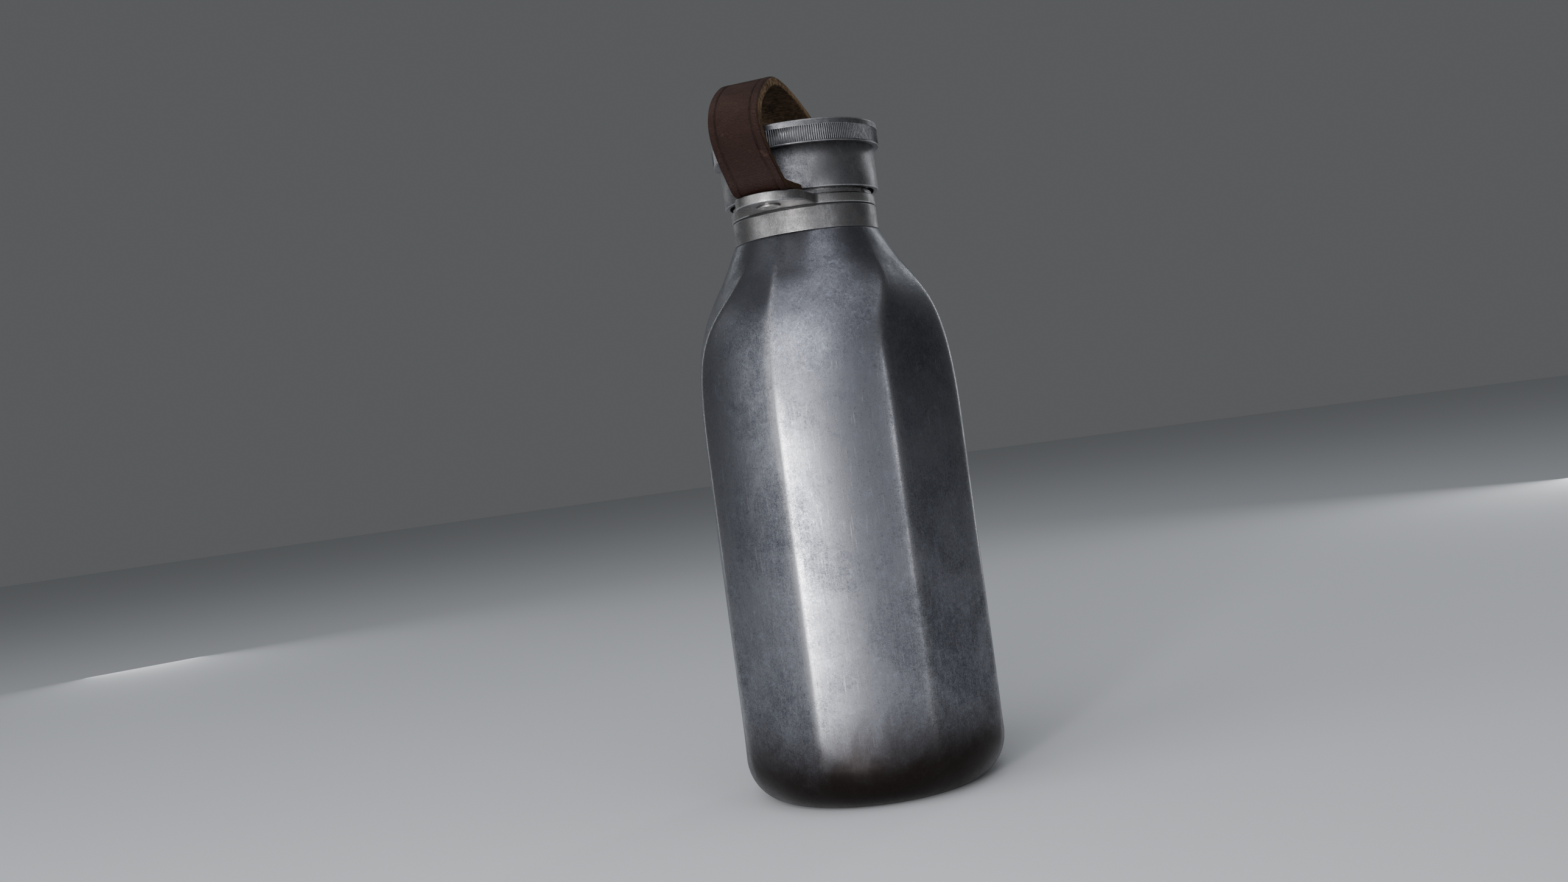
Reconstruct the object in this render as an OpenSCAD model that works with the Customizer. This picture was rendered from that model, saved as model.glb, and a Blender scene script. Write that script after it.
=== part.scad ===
// Steel canteen: faceted bottle, screw cap with a knurled grip ring, turning collar and a leather carry loop.
// Origin on the bottle's axis at the base, +Z up, the collar's two ears on -Y and +Y.

/* [Bottle] */
// Mean radius of the faceted body
body_r = 36.4; // [34:0.1:40]
// Height of the shoulder's top, where the neck band starts
shoulder_h = 153.8; // [130:0.1:190]
// Height at which the body starts to narrow into the shoulder
shoulder_start = 98.6; // [80:0.1:110]
// Thickness of the bottle's steel wall
wall = 0.9; // [0.6:0.1:1.2]
// Turn of the facets about the bottle's axis, in degrees
facet_turn = 19; // [0:1:45]
// Part of the radius that the four wide facets lose
wide_facet_cut = 0.02; // [0.01:0.005:0.04]
// Part of the radius that the four narrow facets lose
narrow_facet_cut = 0; // [0:0.001:0.02]
// How round each facet stays: 0 is flat
facet_round = 0.4; // [0:0.05:0.7]
// Sharpness of the ridges between facets
ridge_sharpness = 45; // [20:5:80]
// Radius of the flat ring that the bottle stands on
foot_r = 26.2; // [22:0.1:30]
// Height at which the facets have come up fully from the round base
base_fade_h = 22; // [16:1:40]

/* [Neck] */
// Outer radius of the neck band and the collar
neck_r = 20.3; // [18:0.1:22]
// Height of the neck band above the shoulder
band_h = 6.3; // [4:0.1:8]
// Radius of the spout's seat, which the collar turns on
seat_r = 19.05; // [19:0.05:19.3]
// Outer radius of the spout tube above the seat
spout_r = 18.4; // [17.8:0.1:18.6]
// Bore radius of the spout, the bottle's mouth
mouth_r = 17.2; // [15:0.1:17.4]
// Height of the spout's lip
lip_z = 176.4; // [170:0.1:180]
// Crest radius of the thread lands
thread_r = 18.95; // [18.6:0.05:19]
// Distance from one thread land to the next
thread_pitch = 4; // [3:0.5:4]

/* [Collar and strap] */
// Thickness of the collar plate
collar_t = 2.7; // [2:0.1:3]
// Half the width of an ear, and the radius of its round end
ear_r = 9.6; // [8:0.1:11]
// Distance from the axis to the tip of an ear
ear_tip = 36.4; // [32:0.1:40]
// Distance from the axis to a rivet
rivet_y = 29; // [27:0.1:30]
// Thickness of the leather
leather_t = 2.6; // [2:0.1:3]
// Width of the leather strap
strap_w = 14.4; // [12:0.1:18]
// Sideways shift of the strap for each millimetre of height
strap_lean = 0.27; // [0:0.01:0.3]
// How far the strap's sides bow out past that straight lean at half height
strap_bow = 1.1; // [0:0.1:2]
// Height of the strap's top, outside
strap_top = 200.3; // [199:0.1:206]

/* [Cap] */
// Outer radius of the cap barrel
barrel_r = 21.7; // [21:0.1:23]
// Height of the cap barrel's lower edge
barrel_z = 164.65; // [164:0.05:166]
// Outer radius of the grip ring
grip_r = 23.4; // [22:0.1:25]
// Height of the grip ring's lower edge
grip_z = 176.6; // [174:0.1:178]
// Height of the cap's top
cap_top_z = 182.9; // [182.5:0.1:184]

/* [Hidden] */
$fn = 96;
sides = 48;                                // points round each ring of the bottle shell
e = 0.01;                                  // overshoot of a cut past a face
run_fit = 0.05;                            // radial clearance of a running fit

steel = "slategray";
bright_steel = "lightslategray";
leather = "saddlebrown";

band_top = shoulder_h + band_h;            // top of the neck band
washer_t = 0.3;                            // slip washer
collar_z = band_top + washer_t + 0.05;     // underside of the collar plate
ear_z = collar_z + collar_t;               // top of the collar plate and its ears
clip_z = ear_z + 0.2;                      // underside of the split clip
clip_t = 0.9;
clip_groove_r = seat_r - 0.35;
clip_turn = -12.5;                         // direction that the clip's opening faces
seat_top_z = clip_z + clip_t + 0.6;        // the seat ends above the clip
clip_gap = 2.2;                            // opening of the split clip
thread_z = 167;                            // middle of the lowest thread land
thread_count = 2;
barrel_wall = 1.4;
barrel_roof_z = cap_top_z - 2.6;           // underside of the barrel's roof
barrel_top_z = cap_top_z - 1.6;
disc_r = 20.6;                             // top disc, inside the grip ring's rim
liner_r = barrel_r - barrel_wall;          // the liner is pressed into the barrel
liner_z = barrel_z + 1.8;
liner_bore_r = thread_r + 0.15;
gasket_t = 1.5;
gasket_z = lip_z + 0.05;
disc_z = gasket_z + gasket_t;              // underside of the inner plate
disc_t = 0.9;
stem_r = 3;
stem_head_r = 4.5;
liner_roof_z = disc_z + disc_t + run_fit;  // underside of the liner's roof
liner_floor_z = liner_roof_z + 0.75;       // floor of the pocket for the stem's head
rivet_r = 1.5;
rivet_head_r = 3;
rivet_head_t = 0.6;
rivet_cap_r = 3.6;
rivet_cap_t = 1.1;
foot_y = 21.95;                            // free end of a strap foot, beside the barrel
bend_y = 33.4;                             // centre of the bend from foot to leg
bend_r = 4;                                // outer radius of that bend
bend_top_z = ear_z + bend_r;
leg_top_z = 176;                           // the swinging part of the strap starts above this
foot_w = strap_w + 1.2;
strap_out_y = bend_y + bend_r;             // widest place of the strap

// Point at t on the cubic curve with control points p
function bezier(p, t) = pow(1 - t, 3) * p[0] + 3 * t * pow(1 - t, 2) * p[1] + 3 * t * t * (1 - t) * p[2]
                        + pow(t, 3) * p[3];
function curve(p, n) = [for (i = [0:n]) bezier(p, i / n)];

// Shoulder, as [radius, height] from the body up to the neck
dome_top = [body_r * 0.706, shoulder_h - 10.2];
dome = [[body_r, shoulder_start], [body_r, shoulder_start + 28], [body_r * 0.9, shoulder_h - 20.8], dome_top];
flare = [dome_top, [body_r * 0.633, shoulder_h - 5.6], [neck_r + 1.45, shoulder_h - 2.6],
         [neck_r + 0.1, shoulder_h]];
shoulder = concat(curve(dome, 7), [for (i = [1:3]) bezier(flare, i / 3)]);

// Rounded corner at the base, from the foot ring up to the straight body
corner_h = 12;
corner = [for (a = [0:18:90])
  [foot_r + (body_r - foot_r) * sin(a), corner_h * (1 - cos(a))]];

// How far the section is faceted at height z: round at the foot and at the neck
function ramp(z, z0, z1) = min(1, max(0, (z - z0) / (z1 - z0)));
function faceting(z) = ramp(z, 2, base_fade_h) * ramp(z, shoulder_h - 2, shoulder_h - 24);

// Radius of the eight-sided section at angle a, for a mean radius of 1, with softened ridges
function facet_pull(a, turn, flat) = pow(max(0, cos(a - turn)) / flat, ridge_sharpness);
function section(a) = let(pull = [for (i = [0:7])
    facet_pull(a, facet_turn + 45 * i, i % 2 == 0 ? 1 - wide_facet_cut : 1 - narrow_facet_cut)])
  pow(pull * [for (i = [0:7]) 1], -1 / ridge_sharpness);
function section_radius(r, z, a) = r * (1 + (section(a) - 1) * faceting(z) * (1 - facet_round));

// Ring of n points round the axis for a half outline's point p, moved inwards by inset
function ring_points(p, inset) = [for (k = [0:sides - 1])
  let(a = k * 360 / sides, r = section_radius(p[0], p[1], a) - inset) [r * cos(a), r * sin(a), p[1]]];

module ring(outer_r, inner_r, z, h) {
  translate([0, 0, z])
    difference() {
      cylinder(r = outer_r, h = h);
      translate([0, 0, -e]) cylinder(r = inner_r, h = h + 2 * e);
    }
}

// One-piece outer wall, open at the neck and at the base: a loop of rings down the outside and up the inside
base_hole_r = foot_r - 3.4;
module bottle_shell() {
  outline = concat(corner, shoulder);
  last = len(outline) - 1;
  inside = [for (p = outline) [p[0], max(p[1], wall)]];
  rings = concat([ring_points([base_hole_r, 0], 0)],
                 [for (p = outline) ring_points(p, 0)],
                 [for (i = [last:-1:0]) ring_points(inside[i], wall)],
                 [ring_points([base_hole_r, wall], 0)]);
  count = len(rings);
  color(steel)
    polyhedron(points = [for (r = rings) for (p = r) p],
               faces = [for (i = [0:count - 1]) for (k = [0:sides - 1])
                 let(n = (i + 1) % count, m = (k + 1) % sides)
                 [i * sides + k, n * sides + k, n * sides + m, i * sides + m]],
               convexity = 6);
}

// Recessed bottom, welded inside the foot ring
module base_disc() {
  color(steel)
    translate([0, 0, wall]) cylinder(r = foot_r - 1.4, h = wall);
}

// Sleeve round the spout, with a spigot inside the shoulder
module neck_band() {
  color(bright_steel) {
    difference() {
      union() {
        translate([0, 0, shoulder_h]) cylinder(r = neck_r, h = band_h);
        translate([0, 0, shoulder_h - 3.6]) cylinder(r = neck_r - wall, h = 3.6 + e);
      }
      translate([0, 0, shoulder_h - 5]) cylinder(r = seat_r, h = band_h + 6);
    }
  }
}

// Neck tube with its rolled lip, thread lands and the groove for the clip
module spout() {
  color(bright_steel)
    difference() {
      union() {
        translate([0, 0, shoulder_h - 6]) cylinder(r = seat_r, h = seat_top_z - shoulder_h + 6);
        translate([0, 0, seat_top_z - e]) cylinder(r = spout_r, h = lip_z - seat_top_z + e);
        for (i = [0:thread_count - 1])
          translate([0, 0, thread_z + i * thread_pitch - 0.7])
            cylinder(r = thread_r, h = 1.4);
        translate([0, 0, lip_z - 1.6]) cylinder(r = thread_r, h = 1.6);
      }
      translate([0, 0, shoulder_h - 7]) cylinder(r = mouth_r, h = lip_z);
      ring(seat_r + 1, clip_groove_r, clip_z, clip_t + 0.1);
    }
}

// Thin dark washer that the collar slides on
module slip_washer() {
  color("black") ring(neck_r - 0.35, seat_r + run_fit, band_top, washer_t);
}

// Split ring in the spout's groove
module collar_clip() {
  color(bright_steel)
    difference() {
      ring(neck_r - 0.75, clip_groove_r, clip_z + run_fit, clip_t);
      rotate([0, 0, clip_turn]) translate([0, -clip_gap / 2, clip_z - 1]) cube([neck_r + 5, clip_gap, 4]);
    }
}

// Flat plate that turns on the neck, with an ear at each end
module carry_collar() {
  color(bright_steel)
    translate([0, 0, collar_z])
      difference() {
        union() {
          cylinder(r = neck_r, h = collar_t);
          for (s = [-1, 1]) {
            translate([0, s * (ear_tip - ear_r), 0]) cylinder(r = ear_r, h = collar_t);
            translate([-ear_r, min(0, s * (ear_tip - ear_r)), 0])
              cube([2 * ear_r, ear_tip - ear_r, collar_t]);
          }
        }
        translate([0, 0, -e]) cylinder(r = seat_r + run_fit, h = collar_t + 2 * e);
        for (s = [-1, 1])
          translate([0, s * rivet_y, -e]) cylinder(r = rivet_r, h = collar_t + 2 * e);
      }
}

// Foot of the strap on the ear at side s, lying flat with a hole for the rivet
module strap_foot(s) {
  color(leather)
    difference() {
      translate([-foot_w / 2, s > 0 ? foot_y : -bend_y, ear_z]) cube([foot_w, bend_y - foot_y, leather_t]);
      translate([0, s * rivet_y, ear_z - 1]) cylinder(r = rivet_r, h = leather_t + 2);
    }
}
module strap_front_foot() { strap_foot(-1); }
module strap_rear_foot() { strap_foot(1); }

// Rivet with a flat head under the ear
module rivet(s) {
  color(bright_steel)
    translate([0, s * rivet_y, 0]) {
      translate([0, 0, collar_z - rivet_head_t]) cylinder(r = rivet_head_r, h = rivet_head_t);
      translate([0, 0, collar_z - e]) cylinder(r = rivet_r, h = collar_t + leather_t + rivet_cap_t * 0.6);
    }
}
module front_rivet() { rivet(-1); }
module rear_rivet() { rivet(1); }

// Domed cap on the rivet, inside the loop
module rivet_cap(s) {
  color(bright_steel)
    translate([0, s * rivet_y, ear_z + leather_t])
      difference() {
        rotate_extrude()
          polygon([[0, 0], [rivet_cap_r, 0], [rivet_cap_r, 0.35], [rivet_cap_r - 0.8, 0.85],
                   [rivet_cap_r - 2, rivet_cap_t], [0, rivet_cap_t]]);
        translate([0, 0, -e]) cylinder(r = rivet_r, h = rivet_cap_t * 0.6);
      }
}
module front_rivet_cap() { rivet_cap(-1); }
module rear_rivet_cap() { rivet_cap(1); }

// Outer edge of the strap as [y, z], from the bend up to the top
strap_side = [[strap_out_y, bend_top_z], [strap_out_y, bend_top_z + 10.7], [30, strap_top - 12.3],
              [20, strap_top - 6.7]];
strap_arch = [[20, strap_top - 6.7], [13, strap_top - 2.8], [6, strap_top], [0, strap_top]];
function strap_outer() = concat(curve(strap_side, 10), [for (i = [1:7]) bezier(strap_arch, i / 7)]);
// The same line moved inwards by the leather's thickness
function inward(p, i) = let(a = p[max(0, i - 1)], b = p[min(len(p) - 1, i + 1)], d = b - a, n = norm(d))
  p[i] + leather_t * [-d[1], d[0]] / n;
function strap_inner() = [for (i = [0:len(strap_outer()) - 1]) inward(strap_outer(), i)];
function flip(p) = [for (i = [len(p) - 1:-1:0]) [-p[i][0], p[i][1]]];

// How far the strap has moved sideways at height z
function sideways(z) = (z - ear_z) * strap_lean + strap_bow * sin(180 * (z - ear_z) / (strap_top - ear_z));

// Whole bent ribbon from the top of one bend to the other, leaning sideways
module strap_ribbon() {
  outer = strap_outer();
  inner = strap_inner();
  last = len(outer) - 2;
  outline = concat(outer, flip([for (i = [0:last]) outer[i]]),
                   [for (i = [0:last]) [-inner[i][0], inner[i][1]]],
                   [[0, strap_top - leather_t]],
                   [for (i = [last:-1:0]) inner[i]]);
  heights = [for (k = [0:12]) ear_z + (strap_top - ear_z) * k / 12];
  color(leather)
    intersection() {
      rotate([90, 0, 90]) linear_extrude(height = 80, center = true) polygon(outline);
      rotate([90, 0, 0])
        linear_extrude(height = 100, center = true)
          polygon(concat([for (z = heights) [strap_w / 2 - sideways(z), z]],
                         [for (k = [12:-1:0]) [-strap_w / 2 - sideways(heights[k]), heights[k]]]));
    }
}

// The arch that swings over the cap
module strap_loop() {
  intersection() {
    strap_ribbon();
    translate([-60, -60, leg_top_z]) cube([120, 120, 60]);
  }
}

// The bend and lower leg at side s, which flex when the loop swings
module strap_leg(s) {
  color(leather) {
    intersection() {
      strap_ribbon();
      translate([-60, s > 0 ? 0 : -60, bend_top_z]) cube([120, 60, leg_top_z - bend_top_z - 0.3]);
    }
    translate([-strap_w / 2, s * bend_y, bend_top_z])
      rotate([0, 90, 0])
        intersection() {
          ring(bend_r, bend_r - leather_t, 0, strap_w);
          translate([0, s > 0 ? 0 : -bend_r - 1, -1]) cube([bend_r + 1, bend_r + 1, strap_w + 2]);
        }
  }
}
module strap_front_leg() { strap_leg(-1); }
module strap_rear_leg() { strap_leg(1); }

// Steel plate over the mouth, with the stem that the cap turns on
module seal_disc() {
  color(bright_steel) {
    translate([0, 0, disc_z]) cylinder(r = liner_bore_r - 0.25, h = disc_t);
    translate([0, 0, disc_z + disc_t - e]) cylinder(r = stem_r, h = 1 + e);
    translate([0, 0, liner_floor_z + run_fit]) cylinder(r = stem_head_r, h = 0.4);
  }
}

module seal_gasket() {
  color("gainsboro") ring(liner_bore_r - 0.25, mouth_r - 1.2, gasket_z, gasket_t);
}

// Drawn steel cup, the cap's outer wall
module cap_barrel() {
  color(steel)
    difference() {
      translate([0, 0, barrel_z]) cylinder(r = barrel_r, h = barrel_top_z - barrel_z);
      translate([0, 0, barrel_z - e]) cylinder(r = liner_r, h = barrel_roof_z - barrel_z + e);
    }
}

// Knurled ring pressed over the barrel
module cap_grip_ring() {
  color(bright_steel)
    rotate_extrude()
      polygon([[barrel_r, grip_z], [grip_r - 0.3, grip_z], [grip_r, grip_z + 0.3], [grip_r, cap_top_z - 0.4],
               [grip_r - 0.4, cap_top_z], [disc_r + 0.2, cap_top_z], [disc_r, cap_top_z - 0.2],
               [disc_r, barrel_top_z], [barrel_r, barrel_top_z]]);
}

module cap_top_disc() {
  color(steel)
    translate([0, 0, barrel_top_z]) cylinder(r = disc_r, h = cap_top_z - 0.4 - barrel_top_z);
}

// Plastic liner that carries the thread and holds the inner plate
module cap_liner() {
  color("dimgray")
    difference() {
      translate([0, 0, liner_z]) cylinder(r = liner_r, h = barrel_roof_z - liner_z);
      translate([0, 0, liner_z - e]) cylinder(r = liner_bore_r, h = liner_roof_z - liner_z + e);
      translate([0, 0, liner_z]) cylinder(r = stem_r + run_fit, h = 20);
      translate([0, 0, liner_floor_z]) cylinder(r = stem_head_r + 0.4, h = 20);
    }
}

bottle_shell();
base_disc();
neck_band();
spout();
slip_washer();
collar_clip();
carry_collar();
strap_front_foot();
strap_rear_foot();
front_rivet();
rear_rivet();
front_rivet_cap();
rear_rivet_cap();
strap_front_leg();
strap_rear_leg();
strap_loop();
seal_disc();
seal_gasket();
cap_barrel();
cap_grip_ring();
cap_top_disc();
cap_liner();
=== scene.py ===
# %% [markdown]
# # A steel canteen with a leather carry loop
#
# The frame of this model is an imported CAD part: every sub-part already has its size, its place and its
# joints. This lesson gives that frame its looks. Steel parts are turned or lofted again with rounded, worn
# edges, the leather loop is built as one strap, and all finishes are procedural. The first step loads the
# frame. The finished model has to stay inside it.

import math

import bmesh
import bpy
from mathutils import Matrix, Vector, noise


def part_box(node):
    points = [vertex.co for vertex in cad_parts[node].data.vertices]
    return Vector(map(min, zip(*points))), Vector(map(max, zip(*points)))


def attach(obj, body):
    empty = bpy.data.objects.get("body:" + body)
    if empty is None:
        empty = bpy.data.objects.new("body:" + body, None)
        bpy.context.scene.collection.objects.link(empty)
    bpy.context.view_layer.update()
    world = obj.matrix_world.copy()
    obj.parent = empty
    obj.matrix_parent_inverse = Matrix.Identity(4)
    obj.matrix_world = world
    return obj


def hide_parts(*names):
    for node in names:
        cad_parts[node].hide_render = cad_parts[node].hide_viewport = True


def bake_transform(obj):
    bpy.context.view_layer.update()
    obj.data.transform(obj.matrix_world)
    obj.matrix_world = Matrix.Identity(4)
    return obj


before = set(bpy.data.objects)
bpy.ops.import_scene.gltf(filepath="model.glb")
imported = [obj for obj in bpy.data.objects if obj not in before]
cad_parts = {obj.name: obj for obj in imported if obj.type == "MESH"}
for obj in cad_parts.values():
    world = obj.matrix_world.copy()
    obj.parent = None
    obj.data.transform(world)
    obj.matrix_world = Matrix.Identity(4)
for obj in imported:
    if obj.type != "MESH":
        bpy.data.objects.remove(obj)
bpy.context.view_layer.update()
MM = 0.001

# %% [markdown]
# ## Camera
#
# A camera is a position, a direction and a lens. Ours stands a little above the bottle's middle, well to
# the side of the front ear, and is rolled so that the bottle leans in the picture. The three small turns
# are made about the camera's own axes, after it faces the bottle's axis.

# %% Camera
CAMERA_AZIMUTH = 17.5
CAMERA_DISTANCE = 434.1 * MM
CAMERA_HEIGHT = 98.3 * MM
CAMERA_TURNS = ((1.85, "Y"), (0.03, "X"), (-7.7, "Z"))
CAMERA_LENS = 35.43


def around(azimuth, distance, height):
    """A point round the bottle: azimuth 0 is the side of the front ear, and it grows towards +X."""
    angle = math.radians(azimuth)
    return Vector((distance * math.sin(angle), -distance * math.cos(angle), height))


camera_data = bpy.data.cameras.new("camera")
camera_data.sensor_fit = "HORIZONTAL"
camera_data.sensor_width = 36
camera_data.lens = CAMERA_LENS
camera_data.clip_start = 0.01
camera = bpy.data.objects.new("camera", camera_data)
bpy.context.scene.collection.objects.link(camera)
facing = Matrix.Rotation(math.radians(CAMERA_AZIMUTH), 4, "Z") @ Matrix.Rotation(math.radians(90), 4, "X")
for degrees, axis in CAMERA_TURNS:
    facing = facing @ Matrix.Rotation(math.radians(degrees), 4, axis)
camera.matrix_world = Matrix.Translation(around(CAMERA_AZIMUTH, CAMERA_DISTANCE, CAMERA_HEIGHT)) @ facing
bpy.context.scene.camera = camera
print("camera at", [round(c, 3) for c in camera.matrix_world.translation])

# %% [markdown]
# ## A helper for node trees
#
# Shader trees and geometry trees are built the same way: add a node, set it up, and connect or fill in its
# inputs. One helper does this, so that each tree below reads as a list of its steps. A second one adds a
# single sum, because sums are what most masks are made of.

# %% Node helpers
def add(tree, kind, inputs=None, **settings):
    """Adds a node. Each input is a value to set or an output to connect, by name or by number."""
    made = tree.nodes.new(kind)
    for setting, value in settings.items():
        setattr(made, setting, value)
    for key, value in (inputs or {}).items():
        socket = made.inputs[key]
        if isinstance(value, bpy.types.NodeSocket):
            tree.links.new(value, socket)
        else:
            socket.default_value = value
    return made


def sum_of(tree, operation, first, second=0.0, clamp=False):
    """The result of one Math node."""
    return add(tree, "ShaderNodeMath", {0: first, 1: second}, operation=operation, use_clamp=clamp).outputs[0]


def mix_colour(tree, factor, first, second, blend="MIX"):
    """The result of one colour mix."""
    return add(tree, "ShaderNodeMix", {0: factor, 6: first, 7: second},
               data_type="RGBA", blend_type=blend).outputs[2]


def between(tree, value, low, high, new_low=0.0, new_high=1.0):
    """Value mapped smoothly from low-high to new_low-new_high."""
    return add(tree, "ShaderNodeMapRange",
               {"Value": value, 1: low, 2: high, 3: new_low, 4: new_high},
               interpolation_type="SMOOTHSTEP").outputs[0]


def add_group(tree, group, inputs):
    """Places a node group in a tree. Returns its outputs."""
    made = tree.nodes.new("ShaderNodeGroup")
    made.node_tree = group
    for key, value in inputs.items():
        socket = made.inputs[key]
        if isinstance(value, bpy.types.NodeSocket):
            tree.links.new(value, socket)
        else:
            socket.default_value = value
    return made.outputs


def colour(red, green, blue):
    return (red, green, blue, 1.0)


def scaled(tint, amount):
    """The same colour, darker or lighter."""
    return colour(*(amount * part for part in tint[:3]))


def new_group(name, kind, inputs, outputs):
    """An empty node group with named sockets. Returns the tree, its input node and its output node."""
    tree = bpy.data.node_groups.new(name, kind)
    for label, socket_type, value in inputs:
        socket = tree.interface.new_socket(label, in_out="INPUT", socket_type=socket_type)
        if value is not None:
            socket.default_value = value
    for label, socket_type in outputs:
        tree.interface.new_socket(label, in_out="OUTPUT", socket_type=socket_type)
    return tree, tree.nodes.new("NodeGroupInput"), tree.nodes.new("NodeGroupOutput")


print("node helpers ready")

# %% [markdown]
# ## Brushed grain
#
# Drawn and brushed steel has fine streaks that all run one way. Noise gives such streaks when its space is
# squeezed hard across them and left long along them. The group takes the position, so that the same group
# serves every steel piece, and it is made once because all steels share it.

# %% Brushed grain group
grain_tree, grain_in, grain_out = new_group(
    "brushed_grain", "ShaderNodeTree",
    [("Position", "NodeSocketVector", None), ("Fineness", "NodeSocketFloat", 3000.0),
     ("Length", "NodeSocketFloat", 30.0)],
    [("Streaks", "NodeSocketFloat")])
along_scale = sum_of(grain_tree, "DIVIDE", grain_in.outputs["Fineness"], grain_in.outputs["Length"])
squeeze = add(grain_tree, "ShaderNodeCombineXYZ",
              {0: grain_in.outputs["Fineness"], 1: grain_in.outputs["Fineness"], 2: along_scale})
squeezed = add(grain_tree, "ShaderNodeVectorMath",
               {0: grain_in.outputs["Position"], 1: squeeze.outputs[0]}, operation="MULTIPLY")
fine_noise = add(grain_tree, "ShaderNodeTexNoise",
                 {"Vector": squeezed.outputs[0], "Scale": 1.0, "Detail": 3.0, "Roughness": 0.65})
grain_tree.links.new(fine_noise.outputs[0], grain_out.inputs["Streaks"])
print("group", grain_tree.name, "with", len(grain_tree.nodes), "nodes")

# %% [markdown]
# ## Blotches
#
# Old bare steel is never even: hands, water and heat leave clouds that are darker, browner or bluer. Two
# noises of different size, one bending the other, look less like a pattern than one does. Contrast sets how
# hard the clouds' borders are.

# %% Blotches group
blotch_tree, blotch_in, blotch_out = new_group(
    "blotches", "ShaderNodeTree",
    [("Position", "NodeSocketVector", None), ("Scale", "NodeSocketFloat", 60.0),
     ("Softness", "NodeSocketFloat", 0.2)],
    [("Clouds", "NodeSocketFloat")])
broad_noise = add(blotch_tree, "ShaderNodeTexNoise",
                  {"Vector": blotch_in.outputs["Position"], "Scale": blotch_in.outputs["Scale"],
                   "Detail": 7.0, "Roughness": 0.62, "Distortion": 0.7})
cloud_low = sum_of(blotch_tree, "SUBTRACT", 0.5, blotch_in.outputs["Softness"])
cloud_high = sum_of(blotch_tree, "ADD", 0.5, blotch_in.outputs["Softness"])
clouds = between(blotch_tree, broad_noise.outputs[0], cloud_low, cloud_high)
blotch_tree.links.new(clouds, blotch_out.inputs["Clouds"])
print("group", blotch_tree.name, "with", len(blotch_tree.nodes), "nodes")

# %% [markdown]
# ## Scratches
#
# A scratch is a short, thin, nearly straight line in a random direction. Noise squeezed into needles and
# cut off high leaves just such lines. The loop turns the space four ways, so that the needles cross each
# other, and keeps the strongest at every point.

# %% Scratches group
SCRATCH_TURNS = ((0.35, 0.25, 0.0), (-0.6, -0.5, 0.4), (0.7, 0.9, 0.9), (0.2, -1.0, 0.3))
SCRATCH_SHAPE = (3200.0, 3200.0, 110.0)
SCRATCH_HARDNESS = 12.0
scratch_tree, scratch_in, scratch_out = new_group(
    "scratches", "ShaderNodeTree",
    [("Position", "NodeSocketVector", None), ("Amount", "NodeSocketFloat", 0.3)],
    [("Lines", "NodeSocketFloat")])
cut = between(scratch_tree, scratch_in.outputs["Amount"], 0.0, 1.0, 0.8, 0.6)
strongest = 0.0
for turn in SCRATCH_TURNS:
    needles = add(scratch_tree, "ShaderNodeMapping",
                  {"Vector": scratch_in.outputs["Position"], "Rotation": turn, "Scale": SCRATCH_SHAPE})
    needle_noise = add(scratch_tree, "ShaderNodeTexNoise",
                       {"Vector": needles.outputs[0], "Scale": 1.0, "Detail": 1.0, "Distortion": 0.15})
    above = sum_of(scratch_tree, "SUBTRACT", needle_noise.outputs[0], cut)
    line = sum_of(scratch_tree, "MULTIPLY", above, SCRATCH_HARDNESS, clamp=True)
    strongest = sum_of(scratch_tree, "MAXIMUM", line, strongest)
scratch_tree.links.new(strongest, scratch_out.inputs["Lines"])
print("group", scratch_tree.name, "with", len(scratch_tree.nodes), "nodes")

# %% [markdown]
# ## Worn steel
#
# The finish of all the outer steel: streaks, clouds, a felt of tiny rubbed marks and longer scratches, in a
# dark and a light tone. The layers are added up with one weight each, so the balance is easy to change.
# Worn edges come from an attribute called wear that the meshes carry on their rounded corners, broken up by
# the tone so that the bright line isn't even. The group puts out a colour, a roughness and a height. The
# shader itself stays in each material.

# %% Worn steel group
steel_tree, steel_in, steel_out = new_group(
    "worn_steel", "ShaderNodeTree",
    [("Position", "NodeSocketVector", None), ("Dark", "NodeSocketColor", None),
     ("Light", "NodeSocketColor", None), ("Roughness", "NodeSocketFloat", 0.4),
     ("Cloud scale", "NodeSocketFloat", 60.0), ("Scratches", "NodeSocketFloat", 0.4),
     ("Wear", "NodeSocketFloat", 0.0)],
    [("Colour", "NodeSocketColor"), ("Roughness", "NodeSocketFloat"), ("Height", "NodeSocketFloat")])
EDGE_SHINE = colour(0.62, 0.61, 0.60)
RUST_TINT = colour(0.75, 0.66, 0.58)
DARKEST_TONE = -0.12
SCRATCH_SHINE = 0.22
DULLING = 0.22
position = steel_in.outputs["Position"]
streaks = add_group(steel_tree, grain_tree, {"Position": position, "Fineness": 2600.0, "Length": 40.0})[0]
wide_clouds = add_group(steel_tree, blotch_tree,
                        {"Position": position, "Scale": steel_in.outputs["Cloud scale"], "Softness": 0.17})[0]
small_clouds = add_group(steel_tree, blotch_tree, {"Position": position, "Scale": 420.0, "Softness": 0.2})[0]
felt_noise = add(steel_tree, "ShaderNodeTexNoise",
                 {"Vector": position, "Scale": 1900.0, "Detail": 5.0, "Roughness": 0.72, "Distortion": 1.6})
felt = between(steel_tree, felt_noise.outputs[0], 0.3, 0.7)
lines = add_group(steel_tree, scratch_tree,
                  {"Position": position, "Amount": steel_in.outputs["Scratches"]})[0]

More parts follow.
